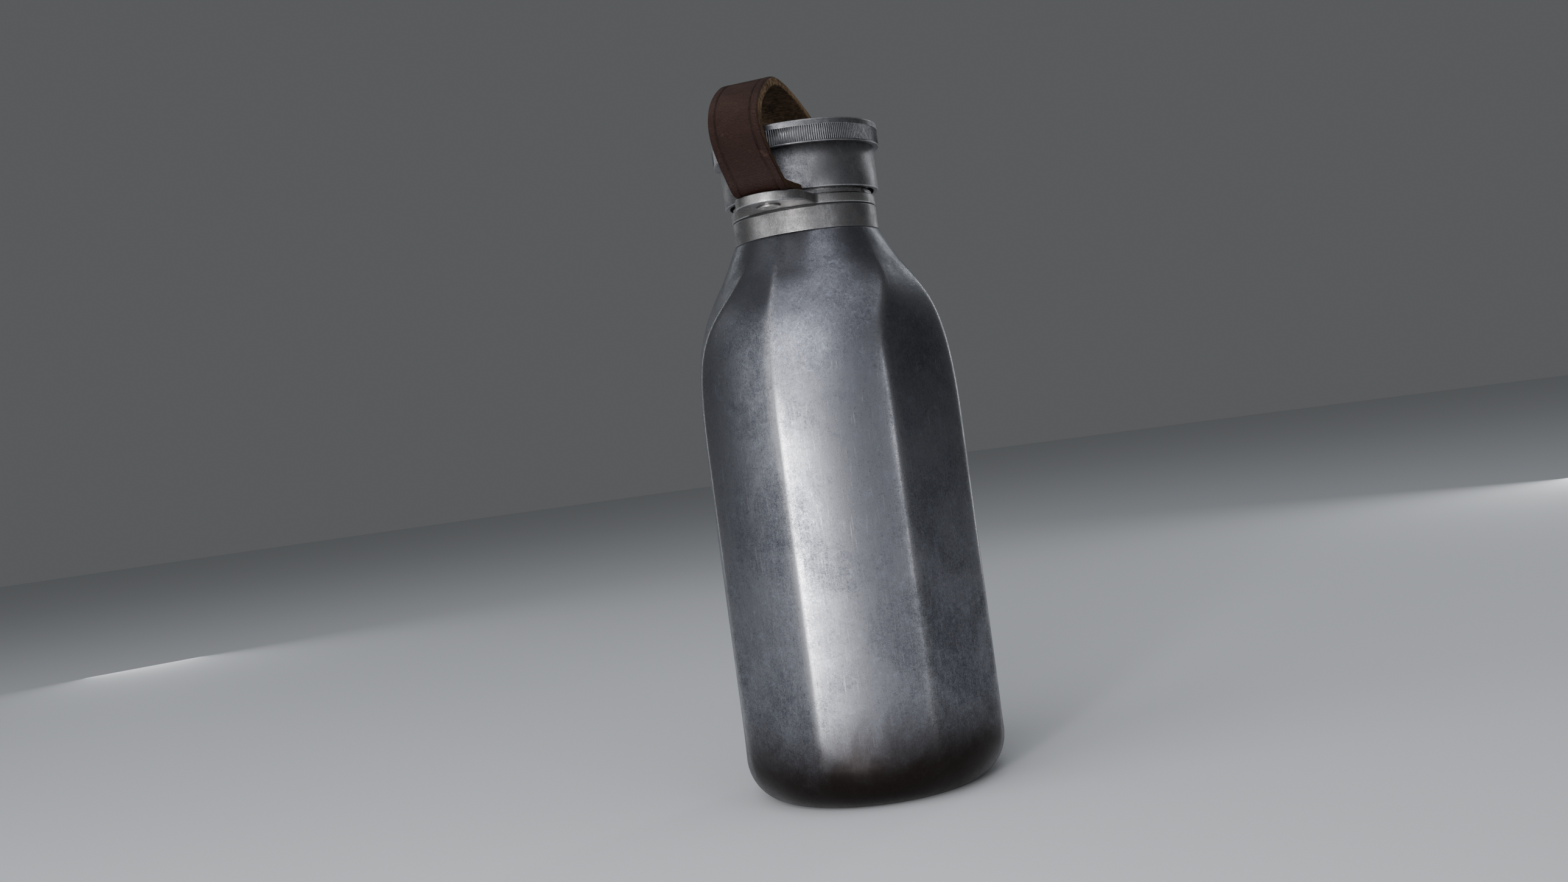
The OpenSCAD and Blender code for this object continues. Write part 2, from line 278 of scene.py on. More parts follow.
tone = DARKEST_TONE
for layer, weight in ((wide_clouds, 0.34), (small_clouds, 0.14), (felt, 0.50), (streaks, 0.36)):
    tone = sum_of(steel_tree, "ADD", sum_of(steel_tree, "MULTIPLY", layer, weight), tone)
tone = between(steel_tree, tone, 0.0, 1.0)
steel_colour = mix_colour(steel_tree, tone, steel_in.outputs["Dark"], steel_in.outputs["Light"])
tinted = mix_colour(steel_tree, 1.0, steel_colour, RUST_TINT, blend="MULTIPLY")
tint_mask = between(steel_tree, small_clouds, 0.75, 1.0, 0.35, 0.0)
steel_colour = mix_colour(steel_tree, tint_mask, steel_colour, tinted)
edge = sum_of(steel_tree, "MULTIPLY", steel_in.outputs["Wear"], between(steel_tree, tone, 0.1, 0.8, 0.2, 0.6))
steel_colour = mix_colour(steel_tree, edge, steel_colour, EDGE_SHINE)
shine = sum_of(steel_tree, "MULTIPLY", lines, SCRATCH_SHINE)
steel_colour = mix_colour(steel_tree, shine, steel_colour, EDGE_SHINE)
steel_tree.links.new(steel_colour, steel_out.inputs["Colour"])

dulling = sum_of(steel_tree, "MULTIPLY", sum_of(steel_tree, "SUBTRACT", 0.5, tone), DULLING)
steel_roughness = sum_of(steel_tree, "ADD", steel_in.outputs["Roughness"], dulling)
steel_roughness = sum_of(steel_tree, "SUBTRACT", steel_roughness, sum_of(steel_tree, "MULTIPLY", edge, 0.1))
steel_tree.links.new(steel_roughness, steel_out.inputs["Roughness"])

relief = sum_of(steel_tree, "SUBTRACT", streaks, sum_of(steel_tree, "MULTIPLY", lines, 0.8))
relief = sum_of(steel_tree, "ADD", relief, sum_of(steel_tree, "MULTIPLY", felt, 0.8))
steel_tree.links.new(relief, steel_out.inputs["Height"])
print("group", steel_tree.name, "with", len(steel_tree.nodes), "nodes")

# %% [markdown]
# ## Steel materials
#
# Every steel part uses the same group with its own tones, so the parts look like one object that aged
# together. Two parts get one thing more. The body's foot is painted darker and browner, as shade standing in
# for the dark ground that it reflects, and on the collar a painted shadow rings the rivet heads.

# %% Steel materials
def new_material(name):
    material = bpy.data.materials.new(name)
    material.use_nodes = True
    tree = material.node_tree
    return material, tree, tree.nodes["Principled BSDF"]


RIVET_Y = 29 * MM
RIVET_HEAD_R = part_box("front_rivet")[1].x
# Painted shade: the dark colour laid on the body's foot and round the rivet heads, and how fully it covers.
PAINTED_SHADE = colour(0.016, 0.010, 0.007)
PAINTED_SHADE_COVER = 0.95
SCRATCH_DEPTH = 0.03 * MM


def steel(name, dark, light, roughness, cloud_scale=60.0, scratches=0.4, bump=0.25, foot_z=None,
          rivets=False):
    """A worn steel material. Given a foot height, the metal is painted darker below it, as shade. With
    rivets, a painted shadow lies round both rivet heads."""
    material, tree, shader = new_material(name)
    where = add(tree, "ShaderNodeTexCoord").outputs["Object"]
    wear = add(tree, "ShaderNodeAttribute", attribute_name="wear").outputs["Fac"]
    finish = add_group(tree, steel_tree, {"Position": where, "Dark": dark, "Light": light,
                                          "Roughness": roughness, "Cloud scale": cloud_scale,
                                          "Scratches": scratches, "Wear": wear})
    metal_colour = finish["Colour"]
    # Painted shade: the body darkens towards its foot, standing in for the dark ground that it reflects.
    if foot_z:
        height = add(tree, "ShaderNodeSeparateXYZ", {0: where}).outputs["Z"]
        uneven = add_group(tree, blotch_tree, {"Position": where, "Scale": 45.0, "Softness": 0.3})[0]
        ragged = sum_of(tree, "ADD", height, sum_of(tree, "MULTIPLY", uneven, -0.35 * foot_z))
        foot_shade_mask = between(tree, ragged, 0.1 * foot_z, foot_z, PAINTED_SHADE_COVER, 0.0)
        metal_colour = mix_colour(tree, foot_shade_mask, metal_colour, PAINTED_SHADE)
    # Painted shadow: a dark ring on the collar round each rivet head.
    if rivets:
        spot = add(tree, "ShaderNodeSeparateXYZ", {0: where})
        beyond = sum_of(tree, "SUBTRACT", sum_of(tree, "ABSOLUTE", spot.outputs["Y"]), RIVET_Y)
        squares = [sum_of(tree, "POWER", length, 2.0) for length in (spot.outputs["X"], beyond)]
        away = sum_of(tree, "SQRT", sum_of(tree, "ADD", *squares))
        ring = between(tree, away, RIVET_HEAD_R + 0.2 * MM, RIVET_HEAD_R + 0.9 * MM, PAINTED_SHADE_COVER, 0.0)
        metal_colour = mix_colour(tree, ring, metal_colour, PAINTED_SHADE)
    tree.links.new(metal_colour, shader.inputs["Base Color"])
    tree.links.new(finish["Roughness"], shader.inputs["Roughness"])
    shader.inputs["Metallic"].default_value = 1.0
    bumped = add(tree, "ShaderNodeBump",
                 {"Strength": bump, "Distance": SCRATCH_DEPTH, "Height": finish["Height"]})
    tree.links.new(bumped.outputs[0], shader.inputs["Normal"])
    return material


# The body gets painted shade on its foot.
body_steel = steel("body_steel", colour(0.066, 0.071, 0.090), colour(0.290, 0.302, 0.340), 0.36,
                   cloud_scale=38.0, scratches=0.45, bump=0.18, foot_z=26 * MM)
neck_steel = steel("neck_steel", colour(0.12, 0.122, 0.128), colour(0.38, 0.38, 0.385), 0.42,
                   cloud_scale=120.0)
# The collar gets the painted shadow round its rivet heads.
collar_steel = steel("collar_steel", colour(0.15, 0.152, 0.156), colour(0.40, 0.40, 0.40), 0.42,
                     cloud_scale=150.0, rivets=True)
cap_steel = steel("cap_steel", colour(0.11, 0.115, 0.130), colour(0.38, 0.385, 0.40), 0.44, cloud_scale=95.0)
grip_steel = steel("grip_steel", colour(0.09, 0.094, 0.107), colour(0.29, 0.295, 0.31), 0.46,
                   cloud_scale=130.0, scratches=0.1)
rivet_steel = steel("rivet_steel", colour(0.26, 0.26, 0.26), colour(0.50, 0.49, 0.48), 0.36,
                    cloud_scale=300.0)
clean_steel = steel("clean_steel", colour(0.46, 0.46, 0.47), colour(0.60, 0.60, 0.61), 0.30, scratches=0.1)
print("steel materials:", [m.name for m in bpy.data.materials if m.name.endswith("_steel")])

# %% [markdown]
# ## Plastic, rubber and leather materials
#
# The washer, the liner and the gasket are moulded: almost even in colour, with a faint grain. Leather needs
# three finishes. The grain side is waxed, with tiny pores, and towards its foot it turns redder, the
# leather's own colour, and darker, which is painted shade on the lower legs; painted shade also darkens its
# two pressed creases. The cut edge shows tan fibres that run along the strap, and the flesh side is a dull
# suede whose fibres lie across it. All three read the strap's own unrolled position, so that their patterns
# bend with the leather.

# %% Moulded materials
def moulded(name, tint, roughness, subsurface=0.0):
    """A moulded plastic or rubber with a fine grain."""
    material, tree, shader = new_material(name)
    where = add(tree, "ShaderNodeTexCoord").outputs["Object"]
    specks = add(tree, "ShaderNodeTexNoise", {"Vector": where, "Scale": 1800.0, "Detail": 4.0}).outputs[0]
    tree.links.new(mix_colour(tree, specks, scaled(tint, 0.7), tint), shader.inputs["Base Color"])
    tree.links.new(between(tree, specks, 0.3, 0.7, roughness - 0.06, roughness + 0.06),
                   shader.inputs["Roughness"])
    bumped = add(tree, "ShaderNodeBump", {"Strength": 0.3, "Distance": 0.04 * MM, "Height": specks})
    tree.links.new(bumped.outputs[0], shader.inputs["Normal"])
    shader.inputs["Subsurface Weight"].default_value = subsurface
    return material


washer_plastic = moulded("washer_plastic", colour(0.016, 0.016, 0.017), 0.55)
liner_plastic = moulded("liner_plastic", colour(0.045, 0.046, 0.05), 0.48)
gasket_rubber = moulded("gasket_rubber", colour(0.62, 0.61, 0.58), 0.45, subsurface=0.15)
print("moulded materials ready")

# %% Leather materials
# Where along the strap the foot tone fades in: a redder hue of the leather's own, darkened as painted shade.
FOOT_TONE_START, FOOT_TONE_END = 22 * MM, 50 * MM


def leather(name, dark, light, foot, roughness, pore_scale, stretch, bump, depth, spread=(0.3, 0.7)):
    """One side of the strap: two tones, the tone of its foot (redder, and darker as painted shade), and pores
    or fibres. A stretch under 1 turns the fibres across the strap."""
    material, tree, shader = new_material(name)
    unrolled = add(tree, "ShaderNodeAttribute", attribute_name="unrolled").outputs["Vector"]
    crease = add(tree, "ShaderNodeAttribute", attribute_name="crease").outputs["Fac"]
    stretched = add(tree, "ShaderNodeMapping",
                    {"Vector": unrolled, "Scale": (1 / stretch, 1.0, 1.0)}).outputs[0]
    pores = add(tree, "ShaderNodeTexVoronoi", {"Vector": stretched, "Scale": pore_scale, "Randomness": 1.0})
    fibres = add(tree, "ShaderNodeTexNoise", {"Vector": stretched, "Scale": 0.6 * pore_scale, "Detail": 5.0,
                                              "Roughness": 0.6})
    patches = add_group(tree, blotch_tree, {"Position": unrolled, "Scale": 110.0, "Softness": 0.28})[0]
    scuffs = add(tree, "ShaderNodeTexNoise", {"Vector": unrolled, "Scale": 260.0, "Detail": 8.0,
                                              "Roughness": 0.75}).outputs[0]
    tone = sum_of(tree, "ADD", sum_of(tree, "MULTIPLY", patches, 0.5),
                  between(tree, fibres.outputs[0], *spread, 0.0, 0.5))
    skin = mix_colour(tree, tone, dark, light)
    # Painted shade: towards the feet the leather turns darker, along with its own redder hue.
    along = add(tree, "ShaderNodeSeparateXYZ", {0: unrolled}).outputs["X"]
    foot_tone_and_shade = between(tree, sum_of(tree, "ABSOLUTE", along), FOOT_TONE_START, FOOT_TONE_END)
    skin = mix_colour(tree, foot_tone_and_shade, skin, mix_colour(tree, 0.9, skin, foot))
    skin = mix_colour(tree, between(tree, scuffs, 0.56, 0.78, 0.0, 0.5), skin, scaled(light, 2.2))
    # Painted shade: the pressed creases are darkened.
    skin = mix_colour(tree, sum_of(tree, "MULTIPLY", crease, 0.5), skin, scaled(dark, 0.3))
    tree.links.new(skin, shader.inputs["Base Color"])
    tree.links.new(between(tree, scuffs, 0.35, 0.7, roughness, roughness + 0.12), shader.inputs["Roughness"])
    relief = sum_of(tree, "ADD", sum_of(tree, "MULTIPLY", pores.outputs["Distance"], 0.6), fibres.outputs[0])
    bumped = add(tree, "ShaderNodeBump", {"Strength": bump, "Distance": depth, "Height": relief})
    tree.links.new(bumped.outputs[0], shader.inputs["Normal"])
    shader.inputs["Specular IOR Level"].default_value = 0.14
    return material


# Each foot colour is redder, the leather's own hue, and darker, as painted shade on the lower legs.
grain_leather = leather("grain_leather", colour(0.023, 0.0115, 0.0085), colour(0.064, 0.036, 0.027),
                        colour(0.011, 0.0034, 0.0019), 0.54, 2600.0, 1.0, 0.9, 0.22 * MM)
edge_leather = leather("edge_leather", colour(0.030, 0.016, 0.008), colour(0.30, 0.190, 0.100),
                       colour(0.045, 0.022, 0.012), 0.85, 1700.0, 1.6, 1.0, 0.3 * MM, spread=(0.42, 0.62))
flesh_leather = leather("flesh_leather", colour(0.020, 0.012, 0.007), colour(0.145, 0.095, 0.055),
                        colour(0.035, 0.020, 0.012), 0.9, 1100.0, 0.4, 1.0, 0.35 * MM, spread=(0.4, 0.64))
print("leather materials:", [m.name for m in (grain_leather, edge_leather, flesh_leather)])

# %% [markdown]
# ## From outline to mesh
#
# Most steel parts are turned: one outline spun round the axis. A loft is the general form of that, a stack
# of rings joined one to the next, and it also makes the collar plate and the strap. Corners are rounded in
# the outline itself, with a close pair of points on each flat so that smooth shading stays flat there, and
# each rounded corner is marked as wear for the material.

# %% Loft and lathe
SUPPORT = 0.02 * MM
CORNER_STEPS = 4


def loft(name, rings, marks=None, closed=True):
    """A closed mesh through a stack of rings. marks gives each ring's value of a named attribute."""
    points, rows = [], []
    for ring in rings:
        rows.append([len(points) + k for k in range(len(ring))])
        points.extend(ring)
    width = max(len(row) for row in rows)
    pairs = list(zip(rows, rows[1:] + rows[:1])) if closed else list(zip(rows, rows[1:]))
    faces = []
    for low, high in pairs:
        for k in range(width):
            corners = [row[j % len(row)] for row, j in ((low, k), (low, k + 1), (high, k + 1), (high, k))]
            face = list(dict.fromkeys(corners))
            if len(face) > 2:
                faces.append(face)
    if not closed:
        faces += [row for row in (rows[0], rows[-1]) if len(row) > 2]
    mesh = bpy.data.meshes.new(name)
    mesh.from_pydata(points, [], faces)
    for mark, values in (marks or {}).items():
        attribute = mesh.attributes.new(mark, "FLOAT", "POINT")
        attribute.data.foreach_set("value", [v for v, row in zip(values, rows) for _ in row])
    shell = bmesh.new()
    shell.from_mesh(mesh)
    bmesh.ops.recalc_face_normals(shell, faces=shell.faces)
    shell.to_mesh(mesh)
    shell.free()
    mesh.shade_smooth()
    piece = bpy.data.objects.new(name, mesh)
    bpy.context.scene.collection.objects.link(piece)
    return piece


def rounded(corners):
    """A closed outline from (radius, height, rounding) corners. Returns (radius, height, wear) points."""
    outline = []
    for i, (r, z, size) in enumerate(corners):
        if not size:
            outline.append((r, z, 0.0))
            continue
        here, before = Vector((r, z)), Vector(corners[i - 1][:2])
        after = Vector(corners[(i + 1) % len(corners)][:2])
        back, forth = (before - here).normalized(), (after - here).normalized()
        outline.append((*(here + back * (size + SUPPORT)), 0.0))
        for k in range(CORNER_STEPS + 1):
            t = k / CORNER_STEPS
            outline.append((*(here + back * size * (1 - t) ** 2 + forth * size * t * t), 4 * t * (1 - t)))
        outline.append((*(here + forth * (size + SUPPORT)), 0.0))
    return outline


def circle(radius, height, segments, centre=(0.0, 0.0)):
    """One ring of points round a centre, or a single point when the radius is nothing."""
    if radius < 1e-7:
        return [(*centre, height)]
    turns = [2 * math.pi * k / segments for k in range(segments)]
    return [(centre[0] + radius * math.cos(a), centre[1] + radius * math.sin(a), height) for a in turns]


def lathe(name, corners, segments=192, centre=(0.0, 0.0)):
    """A turned part. An outline that starts and ends on the axis is closed there."""
    outline = rounded(corners)
    on_axis = corners[0][0] == 0
    rings = [circle(r, z, segments, centre) for r, z, _ in outline]
    return loft(name, rings, {"wear": [wear for _, _, wear in outline]}, closed=not on_axis)


def dress(piece, body, slot, material, *nodes):
    """Gives a finished piece its material and its CAD body, and hides the CAD nodes that it stands for. The
    slot is not used.
    """
    if material:
        piece.data.materials.append(material)
    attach(piece, body)
    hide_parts(*nodes)
    print(piece.name, "faces:", len(piece.data.polygons), "rides on", body)
    return piece


print("loft and lathe ready")

# %% [markdown]
# ## Floor and light
#
# Bare metal has no look of its own: it shows the lights. So each light here has one job. A small softbox
# close to the floor, just left of the camera, draws the bright stripe on the front facet. A higher one
# lights the cap and the neck, a wide one fills the left side, and a broad one overhead lifts the shoulder.
# A narrow strip to the right picks out one ridge, and two strips behind the bottle draw faint rims. The
# floor is a plain pale disc.

# %% Floor and lights
def soft_light(name, where, size, watts, tint=(1.0, 1.0, 1.0), aim_z=0.09):
    """A rectangular softbox that faces the bottle's axis. size is its width and height."""
    data = bpy.data.lights.new(name, "AREA")
    data.shape = "RECTANGLE"
    data.size, data.size_y = size
    data.energy = watts
    data.color = tint
    light = bpy.data.objects.new(name, data)
    bpy.context.scene.collection.objects.link(light)
    direction = Vector((0, 0, aim_z)) - where
    light.matrix_world = Matrix.Translation(where) @ direction.to_track_quat("-Z", "Y").to_matrix().to_4x4()
    return light


def beside_camera(turn, distance, height):
    return around(CAMERA_AZIMUTH + turn, distance, height)


FRONT_TINT = (0.90, 0.93, 1.0)
SIDE_TINT = (0.93, 0.96, 1.0)
TOP_TINT = (0.90, 0.92, 1.0)
RIM_TINT = (0.92, 0.96, 1.0)
STRIPE_Z = 0.058
RIM_SIZE = (0.08, 0.8)
soft_light("stripe_light", beside_camera(-19, 0.45, STRIPE_Z), (0.042, 0.11), 1.35, aim_z=STRIPE_Z)
soft_light("cap_light", beside_camera(-12, 0.9, 0.50), (0.50, 0.50), 3.0, FRONT_TINT)
soft_light("ridge_light", beside_camera(34, 0.9, 0.15), (0.08, 0.4), 0.6, FRONT_TINT)
soft_light("left_light", beside_camera(-60, 0.9, 0.35), (0.75, 0.95), 3.2, SIDE_TINT)
soft_light("top_light", beside_camera(-10, 0.5, 1.3), (1.5, 1.5), 6.5, TOP_TINT)
soft_light("right_rim_light", beside_camera(140, 0.8, 0.2), RIM_SIZE, 0.8, RIM_TINT)
soft_light("left_rim_light", beside_camera(-142, 0.8, 0.2), RIM_SIZE, 0.3, RIM_TINT)

world = bpy.data.worlds.new("studio")
bpy.context.scene.world = world
world.use_nodes = True
world.node_tree.nodes["Background"].inputs["Color"].default_value = colour(0.80, 0.83, 0.86)
world.node_tree.nodes["Background"].inputs["Strength"].default_value = 0.13

floor_material, _, floor_shader = new_material("pale_floor")
floor_shader.inputs["Base Color"].default_value = colour(0.80, 0.81, 0.82)
floor_shader.inputs["Roughness"].default_value = 0.9
FLOOR_R = 4.0
floor_mesh = bpy.data.meshes.new("floor")
floor_mesh.from_pydata(circle(FLOOR_R, 0.0, 128), [], [list(range(128))])
floor_mesh.materials.append(floor_material)
floor = bpy.data.objects.new("floor", floor_mesh)
bpy.context.scene.collection.objects.link(floor)

# %% [markdown]
# ## The faceted body
#
# The real bottle is drawn steel with eight shallow facets that fade into a round foot and a round neck.
# Pressing flat cuts into a round mesh would leave hard edges, so the section comes from a rule instead:
# every facet pulls the radius in, and a high power of all the pulls gives flats with softly rounded ridges.
# The plain round shell is lofted first, with attributes for how faceted and how far inside each ring is,
# and for how far one ridge of each wide facet swings sideways on the shoulder. A Geometry Nodes tree then
# moves the points by the rule, and stores how near each is to a ridge, as wear.

# %% Outline of the body
BODY_R = 36.4 * MM
NECK_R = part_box("neck_band")[1].x
FOOT_R = 26.2 * MM
BASE_HOLE_R = FOOT_R - 3.4 * MM
WALL = 0.9 * MM
SHOULDER_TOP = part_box("bottle_shell")[1].z
CORNER_H = 12 * MM


def bezier(controls, t):
    """A point on the cubic curve through four control points."""
    weights = ((1 - t) ** 3, 3 * t * (1 - t) ** 2, 3 * t * t * (1 - t), t ** 3)
    return tuple(sum(w * p[i] for w, p in zip(weights, controls)) for i in range(2))


def curve(controls, steps, first=0):
    return [bezier(controls, i / steps) for i in range(first, steps + 1)]


def ramp(value, low, high):
    """0 at low and 1 at high, smoothly."""
    t = min(1.0, max(0.0, (value - low) / (high - low)))
    return t * t * (3 - 2 * t)


SHOULDER_START = 98.6 * MM
dome_top = (0.706 * BODY_R, SHOULDER_TOP - 10.2 * MM)
dome = [(BODY_R, SHOULDER_START), (BODY_R, SHOULDER_START + 28 * MM),
        (0.9 * BODY_R, SHOULDER_TOP - 20.8 * MM), dome_top]
hollow = [dome_top, (0.633 * BODY_R, SHOULDER_TOP - 5.6 * MM), (NECK_R + 1.45 * MM, SHOULDER_TOP - 2.6 * MM),
          (NECK_R + 0.1 * MM, SHOULDER_TOP)]
foot_steps = [math.radians(6 * k) for k in range(16)]
foot = [(FOOT_R + (BODY_R - FOOT_R) * math.sin(a), CORNER_H * (1 - math.cos(a))) for a in foot_steps]
side = [(BODY_R, CORNER_H + (SHOULDER_START - CORNER_H) * k / 24) for k in range(1, 24)]
body_outline = foot + side + curve(dome, 30) + curve(hollow, 12, first=1)
print("body outline:", len(body_outline), "points")


# %% Plain shell and its attributes
FLARE_TURN = math.radians(28)
FLARE_LOW, FLARE_HIGH = 112 * MM, 152 * MM
RING_POINTS = 360


def faceting(z):
    """How far the section is faceted: round at the foot and at the neck."""
    return ramp(z, 2 * MM, 22 * MM) * ramp(z, SHOULDER_TOP - 1 * MM, SHOULDER_TOP - 24 * MM)


def ridge_flare(z):
    """How far one ridge of each wide facet swings sideways on the shoulder, in radians."""
    return FLARE_TURN * ramp(z, FLARE_LOW, FLARE_HIGH) ** 2


outside = [(BASE_HOLE_R, 0.0, 0.0)] + [(r, z, 0.0) for r, z in body_outline]
inside = [(r, max(z, WALL), WALL) for r, z in body_outline[::-4]] + [(BASE_HOLE_R, WALL, 0.0)]
shell_rings = outside + inside
body = loft("bottle_body", [circle(r, z, RING_POINTS) for r, z, _ in shell_rings],
            {"faceted": [faceting(z) for _, z, _ in shell_rings],
             "flare": [ridge_flare(z) for _, z, _ in shell_rings],
             "inset": [inset for _, _, inset in shell_rings]})
print("plain shell:", len(body.data.vertices), "points")

# %% Geometry Nodes that facet a round shell
facet_tree, facet_in, facet_out = new_group(
    "facet_a_round_shell", "GeometryNodeTree",
    [("Geometry", "NodeSocketGeometry", None), ("Turn", "NodeSocketFloat", 0.0),
     ("Wide flat", "NodeSocketFloat", 0.98), ("Narrow flat", "NodeSocketFloat", 1.0),
     ("Sharpness", "NodeSocketFloat", 90.0), ("Roundness", "NodeSocketFloat", 0.4),
     ("Flared ridge", "NodeSocketFloat", 0.0), ("Material", "NodeSocketMaterial", None)],
    [("Geometry", "NodeSocketGeometry")])
EIGHTH = math.radians(45)
RIDGE_WEAR = 0.5
place = add(facet_tree, "ShaderNodeSeparateXYZ", {0: add(facet_tree, "GeometryNodeInputPosition").outputs[0]})
radius = sum_of(facet_tree, "SQRT", sum_of(
    facet_tree, "ADD", sum_of(facet_tree, "POWER", place.outputs["X"], 2.0),
    sum_of(facet_tree, "POWER", place.outputs["Y"], 2.0)))
angle = sum_of(facet_tree, "ARCTAN2", place.outputs["Y"], place.outputs["X"])
from_wide = sum_of(facet_tree, "SUBTRACT", angle, facet_in.outputs["Turn"])
from_ridge = sum_of(facet_tree, "SUBTRACT", from_wide, facet_in.outputs["Flared ridge"])
nearest = sum_of(facet_tree, "COSINE", sum_of(facet_tree, "MULTIPLY", from_ridge, 4.0))
share = sum_of(facet_tree, "MULTIPLY", sum_of(facet_tree, "ADD", nearest, 1.0), 0.5)
flare = add(facet_tree, "GeometryNodeInputNamedAttribute", {"Name": "flare"}).outputs[0]
swung = sum_of(facet_tree, "SUBTRACT", from_wide, sum_of(facet_tree, "MULTIPLY", share, flare))
folded = sum_of(facet_tree, "PINGPONG", swung, EIGHTH)
pulls = []
for towards, flat in ((folded, "Wide flat"), (sum_of(facet_tree, "SUBTRACT", EIGHTH, folded), "Narrow flat")):
    reach = sum_of(facet_tree, "DIVIDE", sum_of(facet_tree, "COSINE", towards), facet_in.outputs[flat])
    pulls.append(sum_of(facet_tree, "POWER", reach, facet_in.outputs["Sharpness"]))
pull = sum_of(facet_tree, "ADD", *pulls)
section = sum_of(facet_tree, "POWER", pull, sum_of(facet_tree, "DIVIDE", -1.0, facet_in.outputs["Sharpness"]))
faceted = add(facet_tree, "GeometryNodeInputNamedAttribute", {"Name": "faceted"}).outputs[0]
inset = add(facet_tree, "GeometryNodeInputNamedAttribute", {"Name": "inset"}).outputs[0]
flatness = sum_of(facet_tree, "SUBTRACT", 1.0, facet_in.outputs["Roundness"])
amount = sum_of(facet_tree, "MULTIPLY", faceted, flatness)
growth = sum_of(facet_tree, "MULTIPLY", sum_of(facet_tree, "SUBTRACT", section, 1.0), amount)
shrink = sum_of(facet_tree, "DIVIDE", inset, radius)
factor = sum_of(facet_tree, "SUBTRACT", sum_of(facet_tree, "ADD", growth, 1.0), shrink)
moved = add(facet_tree, "ShaderNodeCombineXYZ",
            {0: sum_of(facet_tree, "MULTIPLY", place.outputs["X"], factor),
             1: sum_of(facet_tree, "MULTIPLY", place.outputs["Y"], factor), 2: place.outputs["Z"]})
shared = sum_of(facet_tree, "SQRT", sum_of(facet_tree, "MULTIPLY", *pulls))
nearness = sum_of(facet_tree, "DIVIDE", sum_of(facet_tree, "MULTIPLY", shared, 2.0), pull)
ridge = sum_of(facet_tree, "MULTIPLY", sum_of(facet_tree, "MULTIPLY", nearness, faceted), RIDGE_WEAR)
faceted_shell = add(facet_tree, "GeometryNodeSetPosition",
                    {"Geometry": facet_in.outputs["Geometry"], "Position": moved.outputs[0]})
marked = add(facet_tree, "GeometryNodeStoreNamedAttribute",
             {"Geometry": faceted_shell.outputs[0], "Name": "wear", "Value": ridge}, data_type="FLOAT")
real = add(facet_tree, "GeometryNodeRealizeInstances", {"Geometry": marked.outputs[0]})
painted = add(facet_tree, "GeometryNodeSetMaterial",
              {"Geometry": real.outputs[0], "Material": facet_in.outputs["Material"]})
facet_tree.links.new(painted.outputs[0], facet_out.inputs["Geometry"])
print("tree", facet_tree.name, "with", len(facet_tree.nodes), "nodes")


# %% Run the tree and keep the result
def run_nodes(piece, tree, **values):
    """Runs a Geometry Nodes tree on a piece with named inputs, and keeps the result as a plain mesh."""
    modifier = piece.modifiers.new("nodes", "NODES")
    modifier.node_group = tree
    for item in tree.interface.items_tree:
        if item.in_out == "INPUT" and item.name.replace(" ", "_") in values:
            modifier[item.identifier] = values[item.name.replace(" ", "_")]
    bpy.context.view_layer.update()
    made = bpy.data.meshes.new_from_object(piece.evaluated_get(bpy.context.evaluated_depsgraph_get()))
    piece.modifiers.clear()
    piece.data = made
    made.name = piece.name
    return piece


run_nodes(body, facet_tree, Turn=math.radians(19), Wide_flat=0.98, Narrow_flat=1.0, Sharpness=90.0,
          Roundness=0.4, Flared_ridge=math.radians(28), Material=body_steel)
dress(body, "bottle", "body_steel", None, "bottle_shell")

# %% [markdown]
# ## Base and neck band
#
# Both are turned parts. The base is a disc whose middle is pressed up a little, as a welded bottom is, so
# that the bottle stands on its outer ring only. The neck band is a plain sleeve. Its rounded lower edge
# leaves a shallow groove on the shoulder, which is what draws the dark line there.

# %% Base and neck band
BASE_LOW, BASE_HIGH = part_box("base_disc")
base = lathe("bottle_base", [
    (0, BASE_LOW.z + 0.5 * MM, 0), (13 * MM, BASE_LOW.z + 0.5 * MM, 0.4 * MM),
    (14 * MM, BASE_LOW.z, 0.4 * MM),
    (BASE_HIGH.x, BASE_LOW.z, 0.2 * MM), (BASE_HIGH.x, BASE_HIGH.z, 0.2 * MM),
    (14.5 * MM, BASE_HIGH.z, 0.4 * MM), (13.5 * MM, BASE_HIGH.z + 0.5 * MM, 0.4 * MM),
    (0, BASE_HIGH.z + 0.5 * MM, 0)])
dress(base, "bottle", "body_steel", body_steel, "base_disc")

BAND_LOW, BAND_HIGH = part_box("neck_band")
SEAT_R = 19.05 * MM
band = lathe("neck_sleeve", [
    (NECK_R - WALL, BAND_LOW.z, 0.1 * MM), (NECK_R - WALL, SHOULDER_TOP - 0.1 * MM, 0),
    (NECK_R, SHOULDER_TOP - 0.1 * MM, 0.25 * MM), (NECK_R, BAND_HIGH.z, 0.3 * MM),
    (SEAT_R, BAND_HIGH.z, 0.1 * MM), (SEAT_R, BAND_LOW.z, 0.1 * MM)])
dress(band, "bottle", "neck_steel", neck_steel, "neck_band")

# %% [markdown]
# ## Collar with two ears
#
# The collar is a flat plate cut to an outline: a round middle, an ear with a full round end on two sides,
# and a small fillet where they meet. A quarter of the outline is three arcs and a straight side, so it
# comes from a few sums, and it is mirrored for the rest. The plate is a loft between that outline and the
# round hole, with the edge rounded by rings that are moved in a little.

# %% Collar outline
COLLAR_LOW, COLLAR_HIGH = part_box("carry_collar")
EAR_R = 9.6 * MM
EAR_CENTRE = COLLAR_HIGH.y - EAR_R
FILLET_R = 1.6 * MM


def arc(centre, radius, start, end, steps):
    turns = [math.radians(start + (end - start) * k / steps) for k in range(steps + 1)]
    return [Vector((centre[0] + radius * math.cos(a), centre[1] + radius * math.sin(a))) for a in turns]


